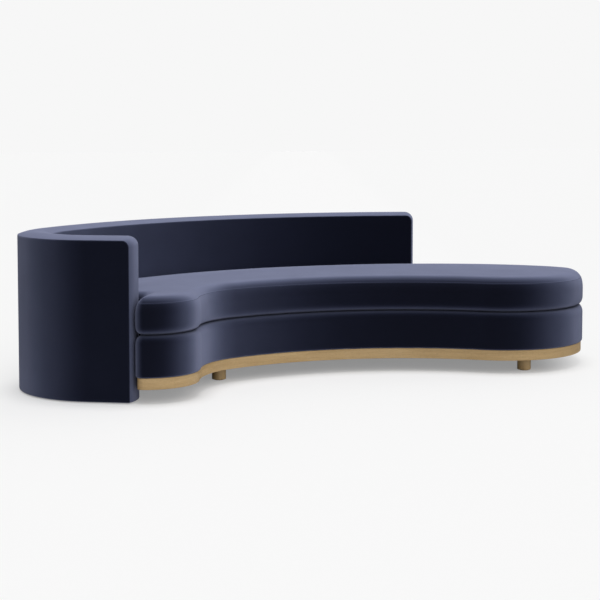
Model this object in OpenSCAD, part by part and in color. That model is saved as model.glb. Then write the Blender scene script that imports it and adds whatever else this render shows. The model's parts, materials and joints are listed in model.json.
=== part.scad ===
/* [Back and arm] */
// Height of the back above the floor
back_height = 720; // [640:5:820]
// Thickness of the back over its upholstery
shell_thickness = 160; // [140:5:200]
// Radius of the back's middle line
back_radius = 2054; // [1950:2:2300]
// Angle from the middle of the bow to the back's right-hand end
back_end_angle = 21.2; // [14:0.1:26]
// Angle from the middle of the bow to the start of the left-hand corner
back_left_angle = 43.3; // [40:0.1:46]
// Radius of the left-hand corner's middle line
corner_radius = 340; // [300:2:400]
// Angle that the left-hand corner turns through
corner_sweep = 105.3; // [98:0.1:112]
// Straight length of the arm past the corner
arm_straight = 210; // [160:2:270]
// Height of the crown on the border over the back's top and down its ends
border_crown = 16; // [8:1:20]
// Radius of the seams where the border turns from the top into the ends
border_turn = 30; // [20:1:40]

/* [Seat plan] */
// Clearance between the seat and the back
seat_gap = 3; // [2:0.5:8]
// Clearance between the seat's flank and the crowned end of the arm
flank_gap = 3; // [2:0.5:10]
// Radius of the front of the chaise lobe
chaise_front_radius = 432; // [400:2:460]
// Radius of the rear of the chaise lobe
chaise_rear_radius = 514; // [490:2:540]
// Angle at which the chaise lobe leaves the back's bow
chaise_angle = 32.2; // [30:0.1:34]
// Direction in which the chaise lobe's two radii meet
chaise_turn = -41; // [-50:1:-30]
// Radius of the concave front
front_radius = 1275; // [1220:1:1340]
// How far the concave front's centre lies left of the bow's middle
front_offset = 269; // [235:1:305]
// Radius of the nook between the concave front and the arm lobe
nook_radius = 391; // [350:1:430]
// Radius of the arm lobe
lobe_radius = 232; // [220:1:245]
// Distance of the arm lobe's centre from the arm's inner face
lobe_inset = 68; // [60:1:80]
// Distance of the arm lobe's centre in front of the arm's end
lobe_reach = 12.5; // [0:0.5:25]
// Radius of the corner between the arm lobe and its flank
flank_radius = 38; // [37:1:50]
// Radius of the nick round the arm's inner corner
nick_radius = 12; // [8:1:16]

/* [Base] */
// Height of the plinth's underside above the floor
plinth_bottom = 62; // [45:1:90]
// Height of the oak plinth
plinth_height = 50; // [35:1:70]
// Thickness of the oak band round the plinth
plinth_wall = 22; // [15:1:30]
// How far the plinth stands back from the upholstery above it
plinth_setback = 7; // [4:1:15]
// Height of the upholstered base above the plinth
base_height = 185; // [150:1:220]
// Width of the base's rolled top edge
base_roll_width = 32; // [20:1:32]
// Height of the base's rolled top edge
base_roll_height = 40; // [24:1:44]
// Thickness of the base's floor panel
panel_thickness = 12; // [9:1:18]
// Thickness of the ribs between floor panel and top ring
rib_thickness = 18; // [12:1:24]
// Width of the top ring that carries the webbing
ring_width = 36; // [24:1:38]
// Thickness of the top ring
ring_thickness = 18; // [12:1:24]
// Width of a webbing strap
strap_width = 60; // [40:5:80]
// Thickness of a webbing strap
strap_thickness = 1.6; // [1:0.1:3]
// Thickness of the foam deck
deck_thickness = 18; // [12:1:25]

/* [Legs] */
// Diameter of the oak legs
leg_diameter = 66; // [50:1:80]
// Chamfer at the foot of a leg
leg_chamfer = 2; // [1:0.5:4]
// Thickness of the glide under a leg
glide_thickness = 3; // [2:0.5:5]
// Diameter of the glide under a leg
glide_diameter = 46; // [30:1:56]
// Diameter of the hanger bolt in a leg
hanger_diameter = 10; // [8:1:12]
// Length of the hanger bolt
hanger_length = 70; // [50:1:80]
// Side of the hardwood block over a leg
block_side = 110; // [90:1:130]
// Diameter of the hidden middle support
support_diameter = 40; // [30:1:60]

/* [Cushion] */
// Height of the cushion at the seam round its top
cushion_height = 135; // [110:1:170]
// Height of the crown above the rolled edge of the top
crown_height = 10; // [6:1:24]
// Wall of the cover with its fibre wrap
cushion_wall = 26; // [22:1:32]
// Width of the zip in the cushion's rear wall
zip_width = 26; // [20:1:34]

/* [Layers] */
// Thickness of the fitted covers
cover_thickness = 4; // [3:0.5:6]
// Thickness of the wadding outside the back
wadding_thickness = 6; // [4:0.5:10]
// Thickness of the foam on the back's inner face
back_foam = 40; // [30:1:50]
// Thickness of the bent plywood skins
skin_thickness = 5; // [3:0.5:8]
// Thickness of the padding on the base's sides
side_padding = 10; // [6:1:14]
// Thickness of the plywood rails in the back
rail_thickness = 18; // [12:1:24]
// Width of a post in the back
post_width = 45; // [30:1:60]

/* [Hidden] */

// Running clearances, and the overrun of every cut
fit_gap = 0.3;
touch_gap = 0.1;
overrun = 1;
round_faces = 48;

// Largest turn and largest step between two points of an outline, and the turn on a rolled edge
max_turn = 7.5;
edge_turn = 22.5;
max_step = 92;
// Arcs below this radius have the turn of a rolled edge
small_radius = 32;
// Smallest radius left where an inset is wider than the corner that it follows
least_corner = 2;

// Directions are angles clockwise from straight behind the bow's centre
function towards(a) = [sin(a), cos(a)];
function polar(a) = [cos(a), sin(a)];
function bearing(v) = atan2(v[1], v[0]);
function wrapped(a, near) = near + (a - near + 180) - 360 * floor((a - near + 180) / 360) - 180;
function meeting(c1, r1, c2, r2) =
    let (v = c2 - c1, l = norm(v), u = v / l, a = (r1 * r1 - r2 * r2 + l * l) / (2 * l))
    let (h = sqrt(r1 * r1 - a * a))
    c1 + a * u - h * [-u[1], u[0]];

// The back: a long bow, a tight corner and a short straight arm
half_shell = shell_thickness / 2;
bow_centre = [0, 0];
corner_centre = (back_radius - corner_radius) * towards(-back_left_angle);
arm_bearing = -back_left_angle - corner_sweep;
arm_inward = -towards(arm_bearing);
arm_along = [arm_inward[1], -arm_inward[0]];
arm_end = corner_centre - corner_radius * arm_inward + arm_straight * arm_along;
arm_inner_corner = arm_end + half_shell * arm_inward;
bow_start = 90 - back_end_angle;
bow_stop = 90 + back_left_angle;
corner_stop = bow_stop + corner_sweep;

// The seat: circles that touch one another, found from the back outwards
seat_radius = back_radius - half_shell - seat_gap;
seat_corner_radius = corner_radius - half_shell - seat_gap;
chaise_rear_centre = (seat_radius - chaise_rear_radius) * towards(chaise_angle);
chaise_front_centre = chaise_rear_centre
    + (chaise_rear_radius - chaise_front_radius) * polar(chaise_turn);
front_reach = front_radius + chaise_front_radius;
front_run = chaise_front_centre[0] + front_offset;
front_centre = [
    -front_offset,
    chaise_front_centre[1] - sqrt(front_reach * front_reach - front_run * front_run)
];
lobe_centre = arm_inner_corner + lobe_inset * arm_inward + lobe_reach * arm_along;
nook_centre = meeting(front_centre, front_radius - nook_radius, lobe_centre, nook_radius + lobe_radius);
flank_out = flank_gap + flank_radius;
flank_rise = sqrt(pow(lobe_radius - flank_radius, 2) - pow(flank_out - lobe_reach, 2));
flank_centre = arm_inner_corner + flank_out * arm_along + (lobe_inset - flank_rise) * arm_inward;
nick_centre = arm_inner_corner + (flank_gap - nick_radius) * arm_along
    + (seat_gap - nick_radius) * arm_inward;

// Each arc is [centre, radius, 1 where it bulges outwards or -1, first angle, last angle,
// 1 before a straight line, and its number of steps where that is given]
flank_first = wrapped(bearing(-arm_along), 180);
flank_last = wrapped(bearing(flank_centre - lobe_centre), flank_first + 60);
lobe_last = wrapped(bearing(nook_centre - lobe_centre), flank_last + 100);
nook_last = wrapped(bearing(nook_centre - front_centre), lobe_last + 120);
front_last = wrapped(bearing(chaise_front_centre - front_centre), nook_last - 60);
chaise_first = front_last + 180;
chaise_middle = wrapped(chaise_turn, chaise_first + 90);
chaise_last = wrapped(90 - chaise_angle, chaise_middle + 90);
seat_arcs = [
    [flank_centre, flank_radius, 1, flank_first, flank_last, 0],
    [lobe_centre, lobe_radius, 1, flank_last, lobe_last, 0],
    [nook_centre, nook_radius, -1, lobe_last + 180, nook_last, 0],
    [front_centre, front_radius, -1, nook_last, front_last, 0],
    [chaise_front_centre, chaise_front_radius, 1, chaise_first, chaise_middle, 0],
    [chaise_rear_centre, chaise_rear_radius, 1, chaise_middle, chaise_last, 0],
    [bow_centre, seat_radius, 1, 90 - chaise_angle, bow_stop, 0],
    [corner_centre, seat_corner_radius, 1, bow_stop, corner_stop, 1],
    [nick_centre, nick_radius, -1, corner_stop - 180, corner_stop - 270, 1]
];

// Every line along the bow has its points at the same angles, apart from the one at its very end
outer_radius = back_radius + half_shell;
inner_radius = back_radius - half_shell;
bow_steps = 28;
first_step = 60;
bow_first = bow_start + asin(first_step / inner_radius);
corner_steps = 15;

function arc_count(a) = len(a) > 6 ? a[6] : max(
    ceil(abs(a[4] - a[3]) / (a[1] < small_radius ? edge_turn : max_turn)),
    ceil(abs(a[4] - a[3]) * PI / 180 * a[1] / max_step));
function arc_points(a, inset) = let (n = arc_count(a), r = max(a[1] - a[2] * inset, least_corner))
    [for (i = [0 : n - 1 + a[5]]) a[0] + r * polar(a[3] + (a[4] - a[3]) * i / n)];
function outline(arcs, inset) = [for (a = arcs) each arc_points(a, inset)];
function seat_outline(inset = 0) = outline(seat_arcs, inset);
// An outline so deep inside that it swallows the tightest corner goes straight past it
function deep_outline(inset) = outline([for (a = seat_arcs) if (a[2] * inset < a[1]) a], inset);

// Places at a distance out from the middle line that stop short of the bow's end and of the arm's end
function bow_place(out, stop) = let (r = back_radius + out) r * polar(bow_start + asin(stop / r));
function arm_place(out, stop) = arm_end - out * arm_inward - stop * arm_along;

// A line along the back, parallel to its middle line, that stops short of both ends
function bow_line(out, stop) = concat(
    [bow_place(out, stop)],
    [for (i = [0 : bow_steps - 1])
        (back_radius + out) * polar(bow_first + (bow_stop - bow_first) * i / bow_steps)]
);
function corner_line(out) = [for (i = [0 : corner_steps])
    corner_centre + (corner_radius + out) * polar(bow_stop + corner_sweep * i / corner_steps)];
function shell_line(out, stop) = concat(bow_line(out, stop), corner_line(out), [arm_place(out, stop)]);
function backwards(list) = [for (i = [len(list) - 1 : -1 : 0]) list[i]];
function shell_band(outer, inner, stop) =
    concat(shell_line(outer, stop), backwards(shell_line(inner, stop)));

// The outline of the back and arm. The border on each end is crowned, with a stop for each share across
border_shares = [1, 0.5, 0, -0.5, -1];
function shell_ring(half, stops) = concat(
    shell_line(half, stops[0]),
    [for (k = [1 : 3]) arm_place(half * border_shares[k], stops[k])],
    backwards(shell_line(-half, stops[4])),
    [for (k = [3 : -1 : 1]) bow_place(half * border_shares[k], stops[k])]
);
function shell_outline(inset = 0) =
    shell_ring(half_shell - inset, [for (s = border_shares) inset + border_crown * s * s]);

// The opening in the cover's foot has its points half a step further on, clear of the foot's own corners
function opening_line(out) = let (r = back_radius + out) concat(
    [bow_place(out, rail_stop)],
    [for (i = [1 : bow_steps]) r * polar(bow_first + (bow_stop - bow_first) * (i - 1 / 2) / bow_steps)],
    [for (i = [1 : corner_steps])
        corner_centre
            + (corner_radius + out) * polar(bow_stop + corner_sweep * (i - 1 / 2) / corner_steps)],
    [arm_place(out, rail_stop)]
);

// The origin lies on the floor, under the middle of the whole plan
whole_plan = concat(seat_outline(), shell_outline());
across = [for (p = whole_plan) p[0]];
along = [for (p = whole_plan) p[1]];
plan_middle = [(max(across) + min(across)) / 2, (max(along) + min(along)) / 2, 0];

// Heights above the floor
plinth_top = plinth_bottom + plinth_height;
base_top = plinth_top + base_height;
flange_thickness = 2;
flange_clearance = 1;
flange_width = plinth_setback + plinth_wall - flange_clearance;
panel_low = plinth_top + flange_thickness;
panel_top = panel_low + panel_thickness;
deck_wall = 7;
deck_top = base_top - deck_wall;
deck_low = deck_top - deck_thickness;
strap_low = deck_low - strap_thickness;
ring_low = strap_low - ring_thickness;
cushion_low = base_top + fit_gap;

// Layers of the base, counted inwards from its outline
deck_inset = 20;
skin_outer = cover_thickness + side_padding;
skin_inner = skin_outer + skin_thickness;

// Layers of the back, counted outwards from its middle line
wadding_out = half_shell - cover_thickness - touch_gap;
ply_out = wadding_out - wadding_thickness;
core_out = ply_out - skin_thickness;
foam_in = cover_thickness - half_shell + touch_gap;
ply_in = foam_in + back_foam;
core_in = ply_in + skin_thickness;
end_pad_edge = 2;
board_stop = border_crown + cover_thickness + end_pad_edge;
rail_stop = board_stop + rail_thickness;

// Heights in the back
back_glide_height = 6;
back_glide_radius = 12;
rail_low = back_glide_height;
middle_rail_low = 262;
seam_height = back_height - border_crown;
turn_height = seam_height - border_turn;
turn_stop = border_crown + border_turn;
pad_rise = 6;
ply_top = turn_height + pad_rise;
top_rail_low = ply_top - rail_thickness;

// The foam over the top rail has two layers: one as wide as the back, and one under the crown
foam_shoulder = seam_height - cover_thickness;
foam_top = back_height - 2 * cover_thickness;
foam_stop = border_turn + cover_thickness;
crown_foam_share = 0.55;

// The seams turn from the top into the ends on a radius, and the crown goes round with them
turn_shares = [0, 1 / 3, 2 / 3, 1];
top_shares = [0.75, 0.5, 0.25];
function crown_at(share) = border_crown * (1 - share * share);
function border_stop(share, z) = let (r = border_turn + crown_at(share))
    turn_stop - r * cos(asin(min(1, max(0, z - turn_height) / r)));
function border_ring(width_share, z) = [for (p = shell_ring(width_share * half_shell,
    [for (s = border_shares) border_stop(s * width_share, z)])) [p[0], p[1], z]];

// Where the straight pieces stand, as angles along the bow and round the corner
rib_angles = [-50, -43, -34, -24, -14, -4, 6, 16, 25, 33];
strap_angles = [for (i = [1 : len(rib_angles) - 1]) (rib_angles[i - 1] + rib_angles[i]) / 2];
batten_angles = [-47, -34, -20, -6, 8, 21, 31];
post_angles = [-43, -32, -19, -9, 1, 11, 19.5];
bolt_angles = [-32, -19, -9, 1, 11, 19.5];
corner_post_shares = [1 / 3, 2 / 3, 1];
batten_width = 45;

// Legs stand where the plan places them, from the centres of the plan's own circles
leg_inset = 104;
leg_front_left_angle = -16.85;
leg_front_chaise_bearing = -97;
leg_rear_chaise_bearing = 48;
leg_rear_middle_angle = -21;
support_angle = 0;
leg_front_left_at = front_centre + (front_radius + leg_inset) * towards(leg_front_left_angle);
leg_front_chaise_at = chaise_front_centre
    + (chaise_front_radius - leg_inset) * polar(leg_front_chaise_bearing);
leg_rear_chaise_at = chaise_rear_centre
    + (chaise_rear_radius - leg_inset) * polar(leg_rear_chaise_bearing);
leg_rear_middle_at = (seat_radius - leg_inset) * towards(leg_rear_middle_angle);
support_at = (seat_radius - chaise_front_radius) * towards(support_angle);
leg_places = [leg_front_left_at, leg_front_chaise_at, leg_rear_chaise_at, leg_rear_middle_at];
dust_thickness = 0.8;
block_low = plinth_bottom + dust_thickness + fit_gap;
hanger_low = plinth_bottom - hanger_length / 2;

// Bolts that hold the base to the back
bolt_radius = 4;
bolt_head_radius = 9;
bolt_head_height = 6;
bolt_height = 200;
joining_depth = 30;
joining_side = 70;
bolt_inner = seat_radius - skin_inner - joining_depth;
bolt_outer = back_radius + core_in + 2 * joining_depth;

// Zip in the cushion's rear wall
zip_thickness = 2;
zip_recess = 1;
zip_angle_first = -24;
zip_angle_last = 14;
zip_play_angle = 0.02;
zip_low = cushion_low + (cushion_height - zip_width) / 2;

velvet = [0.09, 0.10, 0.16];
oak = [0.65, 0.53, 0.37];
birch = [0.80, 0.70, 0.53];
pine = [0.84, 0.73, 0.52];
foam_colour = [0.93, 0.90, 0.78];
wadding_colour = [0.95, 0.95, 0.93];
cambric = [0.08, 0.08, 0.08];
steel = [0.62, 0.63, 0.65];
nylon = [0.12, 0.12, 0.12];

module place() translate(-plan_middle) children();

module slab(points, low, high) translate([0, 0, low]) linear_extrude(high - low) polygon(points);

module band(outer, inner, low, high) difference() {
    slab(outer, low, high);
    slab(inner, low - overrun, high + overrun);
}

// A straight-sided beam that runs outwards from a centre at an angle from straight behind
module beam(centre, angle, width, first, last, low, high) translate(centre) rotate(-angle)
    translate([-width / 2, first, low]) cube([width, last - first, high - low]);

module stud(at, radius, low, high) translate([at[0], at[1], low])
    cylinder(h = high - low, r = radius, $fn = round_faces);

// A flat end is cut into ears: corners that bulge outwards and hold no other point
function turn(a, b, c) = (b[0] - a[0]) * (c[1] - a[1]) - (b[1] - a[1]) * (c[0] - a[0]);
function holds(a, b, c, p) = turn(a, b, p) >= 0 && turn(b, c, p) >= 0 && turn(c, a, p) >= 0;
function corner(list, i) =
    [list[(i + len(list) - 1) % len(list)], list[i % len(list)], list[(i + 1) % len(list)]];
function is_ear(p, list, i) = let (c = corner(list, i))
    turn(p[c[0]], p[c[1]], p[c[2]]) > 0
    && len([for (k = [2 : len(list) - 2])
        if (holds(p[c[0]], p[c[1]], p[c[2]], p[list[(i + k) % len(list)]])) k]) == 0;
function find_ear(p, list, i, tries) =
    tries == 0 || is_ear(p, list, i) ? i % len(list) : find_ear(p, list, i + 1, tries - 1);
function ears(p, list, start) = len(list) == 3 ? [list] :
    let (i = find_ear(p, list, start, len(list)))
    concat([corner(list, i)], ears(p, [for (k = [0 : len(list) - 1]) if (k != i) list[k]], i + 1));
function end_faces(ring) = ears(ring, [for (i = [0 : len(ring) - 1]) i], 1);

// A closed body through rings of one outline, each ring a list of points at its own height
module loft(rings) {
    n = len(rings[0]);
    last = (len(rings) - 1) * n;
    polyhedron(
        points = [for (ring = rings) each ring],
        faces = concat(
            end_faces(rings[0]),
            [for (f = end_faces(rings[len(rings) - 1])) [last + f[2], last + f[1], last + f[0]]],
            [for (k = [0 : len(rings) - 2]) for (i = [0 : n - 1])
                [k * n + i, (k + 1) * n + i, (k + 1) * n + (i + 1) % n]],
            [for (k = [0 : len(rings) - 2]) for (i = [0 : n - 1])
                [k * n + i, (k + 1) * n + (i + 1) % n, k * n + (i + 1) % n]]
        )
    );
}

function lifted(points, z) = [for (p = points) [p[0], p[1], z]];

// Insets and drops of a rolled edge, from the foot of the roll to its top
roll_steps = 4;
function roll_inset(width, k) = width * (1 - cos(90 * k / roll_steps));
function roll_rise(height, k) = height * sin(90 * k / roll_steps);

// A sector of the rear of the seat, between two angles from straight behind
module rear_sector(first, last, low, high) {
    steps = 4;
    rim = [for (k = [0 : steps]) outer_radius * towards(first + (last - first) * k / steps)];
    slab(concat(rim, backwards(rim) * (spine_radius / outer_radius)), low, high);
}

module bolt_holes() for (a = bolt_angles)
    rotate(-a) translate([0, bolt_inner - overrun, bolt_height]) rotate([-90, 0, 0])
        cylinder(h = bolt_outer - bolt_inner + 2 * overrun, r = bolt_radius + fit_gap, $fn = round_faces);

module oak_plinth_band() place() color(oak) band(
    seat_outline(plinth_setback), seat_outline(plinth_setback + plinth_wall), plinth_bottom, plinth_top);

module inside_plinth(low, high) slab(seat_outline(plinth_setback + plinth_wall), low, high);

module block_over(at, grow) translate([at[0], at[1], block_low])
    translate([-block_side / 2 - grow, -block_side / 2 - grow, 0])
    cube([block_side + 2 * grow, block_side + 2 * grow, panel_low - block_low]);

module plinth_battens() place() color(pine) difference() {
    intersection() {
        inside_plinth(block_low, panel_low);
        union() for (a = batten_angles)
            beam(bow_centre, a, batten_width, 0, outer_radius, block_low, panel_low);
    }
    for (at = concat(leg_places, [support_at]), shift = [-overrun, overrun])
        translate([0, 0, shift]) block_over(at, fit_gap);
}

module leg_blocks() place() color(birch) difference() {
    intersection() {
        inside_plinth(block_low, panel_low);
        union() for (at = concat(leg_places, [support_at])) block_over(at, 0);
    }
    for (at = leg_places) stud(at, hanger_diameter / 2 + fit_gap, block_low - overrun, panel_low + overrun);
}

module dust_cover() place() color(cambric) difference() {
    slab(seat_outline(plinth_setback + plinth_wall + fit_gap),
        plinth_bottom, plinth_bottom + dust_thickness);
    for (at = leg_places) stud(at, leg_diameter / 2 + fit_gap, plinth_bottom - overrun, plinth_top);
    stud(support_at, support_diameter / 2 + fit_gap, plinth_bottom - overrun, plinth_top);
}

module leg(at) place() color(oak) difference() {
    translate([at[0], at[1], glide_thickness]) rotate_extrude($fn = round_faces) polygon([
        [0, 0],
        [leg_diameter / 2 - leg_chamfer, 0],
        [leg_diameter / 2, leg_chamfer],
        [leg_diameter / 2, block_low - glide_thickness],
        [0, block_low - glide_thickness]
    ]);
    stud(at, hanger_diameter / 2 + fit_gap, hanger_low - fit_gap, plinth_top);
}

module leg_front_left() leg(leg_front_left_at);
module leg_front_chaise() leg(leg_front_chaise_at);
module leg_rear_chaise() leg(leg_rear_chaise_at);
module leg_rear_middle() leg(leg_rear_middle_at);

module middle_support() place() color(nylon)
    translate([support_at[0], support_at[1], 0]) rotate_extrude($fn = round_faces) polygon([
        [0, 0],
        [support_diameter / 2 - leg_chamfer, 0],
        [support_diameter / 2, leg_chamfer],
        [support_diameter / 2, block_low],
        [0, block_low]
    ]);

module leg_glides() place() color(nylon)
    for (at = leg_places) stud(at, glide_diameter / 2, 0, glide_thickness);

module hanger_bolts() place() color(steel) for (at = leg_places)
    stud(at, hanger_diameter / 2, hanger_low, hanger_low + hanger_length);

module base_floor_panel() place() color(birch) slab(seat_outline(skin_outer), panel_low, panel_top);

module base_ribs() place() color(birch) intersection() {
    slab(seat_outline(skin_inner), panel_top, ring_low);
    union() for (a = rib_angles) beam(bow_centre, a, rib_thickness, 0, outer_radius, panel_top, ring_low);
}

module base_ply_skin() place() color(birch) difference() {
    band(seat_outline(skin_outer), seat_outline(skin_inner), panel_top, strap_low);
    bolt_holes();
}

module base_top_ring() place() color(birch)
    band(seat_outline(skin_inner), deep_outline(skin_inner + ring_width), ring_low, strap_low);

module seat_webbing() place() color(cambric) intersection() {
    slab(seat_outline(skin_outer), strap_low, deck_low);
    union() for (a = strap_angles) beam(bow_centre, a, strap_width, 0, outer_radius, strap_low, deck_low);
}

module deck_foam() place() color(foam_colour) slab(seat_outline(deck_inset), deck_low, deck_top);

module base_side_padding() place() color(foam_colour) difference() {
    band(seat_outline(cover_thickness), seat_outline(skin_outer), panel_low, deck_low);
    bolt_holes();
}

module base_cover() place() color(velvet) difference() {
    loft(concat(
        [lifted(seat_outline(flange_thickness), plinth_top)],
        [lifted(seat_outline(), plinth_top + 2 * flange_thickness)],
        [for (k = [0 : roll_steps])
            lifted(seat_outline(roll_inset(base_roll_width, k)),
                base_top - base_roll_height + roll_rise(base_roll_height, k))]
    ));
    slab(seat_outline(cover_thickness), panel_low, deck_low);
    slab(seat_outline(deck_inset), panel_low, deck_top);
    slab(seat_outline(flange_width), plinth_top - overrun, deck_top);
    bolt_holes();
}

module joining_blocks() place() color(birch) difference() {
    intersection() {
        slab(seat_outline(skin_inner), bolt_height - joining_side / 2, bolt_height + joining_side / 2);
        union() for (a = bolt_angles) beam(bow_centre, a, joining_side, bolt_inner,
            outer_radius, bolt_height - joining_side / 2, bolt_height + joining_side / 2);
    }
    bolt_holes();
    for (a = rib_angles)
        beam(bow_centre, a, rib_thickness + 2 * fit_gap, 0, outer_radius, panel_top, ring_low);
}

module back_core(low, high) intersection() {
    slab(shell_band(core_out, core_in, board_stop), low, high);
    slab(shell_band(half_shell, -half_shell, rail_stop), low, high);
}

module back_rail(low) back_core(low, low + rail_thickness);

module back_bottom_rail() place() color(birch) back_rail(rail_low);
module back_middle_rail() place() color(birch) back_rail(middle_rail_low);
module back_top_rail() place() color(birch) back_rail(top_rail_low);

module posts(low, high) intersection() {
    back_core(low, high);
    union() {
        for (a = post_angles) beam(bow_centre, a, post_width, 0, outer_radius + overrun, low, high);
        for (s = corner_post_shares) beam(corner_centre, -back_left_angle - corner_sweep * s, post_width,
            0, corner_radius + shell_thickness, low, high);
    }
}

module back_lower_posts() place() color(pine) difference() {
    posts(rail_low + rail_thickness, middle_rail_low);
    bolt_holes();
}

module back_upper_posts() place() color(pine) posts(middle_rail_low + rail_thickness, top_rail_low);

module back_end_boards() place() color(birch) difference() {
    slab(shell_band(core_out, core_in, board_stop), rail_low, ply_top);
    slab(shell_band(half_shell, -half_shell, rail_stop - touch_gap), rail_low - overrun, ply_top + overrun);
}

module back_outer_ply() place() color(birch)
    slab(shell_band(ply_out, core_out, board_stop), rail_low, ply_top);

module back_inner_ply() place() color(birch) difference() {
    slab(shell_band(core_in, ply_in, board_stop), rail_low, ply_top);
    bolt_holes();
}

module back_packing_rail() place() color(pine) difference() {
    slab(shell_band(ply_in, foam_in, board_stop), rail_low, middle_rail_low);
    bolt_holes();
}

module back_inner_foam() place() color(foam_colour)
    slab(shell_band(ply_in, foam_in, board_stop), middle_rail_low, ply_top);

module back_outer_wadding() place() color(wadding_colour)
    slab(shell_band(wadding_out, ply_out, board_stop), rail_low, ply_top);

module top_foam_layers() {
    half = half_shell - cover_thickness;
    crown_half = crown_foam_share * half_shell;
    slab(shell_band(half, -half, foam_stop), ply_top, foam_shoulder);
    slab(shell_band(crown_half, -crown_half, turn_stop), foam_shoulder, foam_top);
}

module back_top_foam() place() color(foam_colour) top_foam_layers();

module back_end_pads() place() color(foam_colour) difference() {
    slab(shell_outline(cover_thickness), rail_low, ply_top);
    slab(shell_band(shell_thickness, -shell_thickness, board_stop - touch_gap),
        rail_low - overrun, ply_top + overrun);
}

module back_cover() place() color(velvet) difference() {
    loft(concat(
        [lifted(shell_outline(flange_thickness), rail_low - flange_thickness)],
        [lifted(shell_outline(), rail_low + flange_thickness)],
        [for (s = turn_shares) border_ring(1, turn_height + border_turn * sin(90 * s))],
        [for (s = top_shares)
            border_ring(s, s == min(top_shares) ? back_height : seam_height + crown_at(s))]
    ));
    slab(shell_outline(cover_thickness), rail_low, ply_top);
    top_foam_layers();
    slab(concat(opening_line(half_shell - flange_width),
        backwards(opening_line(flange_width - half_shell))), 0, ply_top);
    bolt_holes();
}

module back_glides() place() color(nylon) {
    for (a = post_angles) stud(back_radius * towards(a), back_glide_radius, 0, rail_low);
    for (s = corner_post_shares) stud(
        corner_centre + corner_radius * towards(-back_left_angle - corner_sweep * s),
        back_glide_radius, 0, rail_low);
}

module joining_bolts() place() color(steel) for (a = bolt_angles)
    rotate(-a) translate([0, bolt_inner, bolt_height]) rotate([-90, 0, 0]) union() {
        cylinder(h = bolt_outer - bolt_inner, r = bolt_radius, $fn = round_faces);
        translate([0, 0, -bolt_head_height]) cylinder(h = bolt_head_height, r = bolt_head_radius, $fn = 6);
    }

// Side of the cushion from its foot over the seam to the rolled edge of its top:
// inset as a share of the wall, and height as a share of the seam's height
side_shares = [
    [1.3, 0], [0.62, 0.04], [0, 0.267], [0, 0.667], [0.12, 0.844], [0.38, 1], [0.92, 1.074], [1.3, 1.1]
];
edge_shares = side_shares[len(side_shares) - 1];
cushion_edge = cushion_low + edge_shares[1] * cushion_height;
core_low = cushion_low + cover_thickness;
core_top = cushion_low + cushion_height + cover_thickness;

// The crown climbs from the cushion's rolled edge to a spine along the middle of the seat
spine_radius = (seat_radius + front_centre[1] + front_radius) / 2;
spine_first = -back_left_angle - 2;
spine_bend = -25;
spine_last = chaise_angle - 2;
spine_dip_share = 0.54;
function spine_reach(a) = spine_radius
    - spine_dip_share * lobe_radius * max(0, (spine_bend - a) / (spine_bend - spine_first));
function spine_point(p) = let (a = min(spine_last, max(spine_first, atan2(p[0], p[1]))))
    spine_reach(a) * towards(a);
function crown_ring(points, share) = [for (p = points) p + share * (spine_point(p) - p)];
crown_shares = [0.2, 0.6];
function crown_rise(share) = crown_height * (1 - pow(1 - share / max(crown_shares), 2));

module cushion_form() {
    edge = seat_outline(edge_shares[0] * cushion_wall);
    loft(concat(
        [for (s = side_shares)
            lifted(seat_outline(s[0] * cushion_wall), cushion_low + s[1] * cushion_height)],
        [for (s = crown_shares) lifted(crown_ring(edge, s), cushion_edge + crown_rise(s))]
    ));
}

module cushion_core() place() color(foam_colour)
    slab(seat_outline(cushion_wall), core_low, core_top);

module cushion_cover() place() color(velvet) difference() {
    cushion_form();
    slab(seat_outline(cushion_wall - fit_gap), core_low - fit_gap, core_top + fit_gap);
    intersection() {
        band(seat_outline(-overrun), seat_outline(zip_recess + zip_thickness + fit_gap),
            zip_low - fit_gap, zip_low + zip_width + fit_gap);
        rear_sector(zip_angle_first, zip_angle_last, zip_low - overrun, zip_low + zip_width + overrun);
    }
}

module cushion_zip() place() color(nylon) intersection() {
    band(seat_outline(zip_recess), seat_outline(zip_recess + zip_thickness), zip_low, zip_low + zip_width);
    rear_sector(zip_angle_first + zip_play_angle, zip_angle_last - zip_play_angle,
        zip_low, zip_low + zip_width);
}

oak_plinth_band();
plinth_battens();
leg_blocks();
dust_cover();
leg_front_left();
leg_front_chaise();
leg_rear_chaise();
leg_rear_middle();
middle_support();
leg_glides();
hanger_bolts();
base_floor_panel();
base_ribs();
base_ply_skin();
base_top_ring();
seat_webbing();
deck_foam();
base_side_padding();
base_cover();
joining_blocks();
back_bottom_rail();
back_middle_rail();
back_top_rail();
back_lower_posts();
back_upper_posts();
back_end_boards();
back_outer_ply();
back_inner_ply();
back_packing_rail();
back_inner_foam();
back_outer_wadding();
back_top_foam();
back_end_pads();
back_cover();
back_glides();
joining_bolts();
cushion_core();
cushion_cover();
cushion_zip();
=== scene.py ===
import json
import math
from contextlib import contextmanager

import bmesh
import bpy
import numpy as np
from mathutils import Matrix, Vector
from mathutils.geometry import delaunay_2d_cdt
from mathutils.kdtree import KDTree


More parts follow.
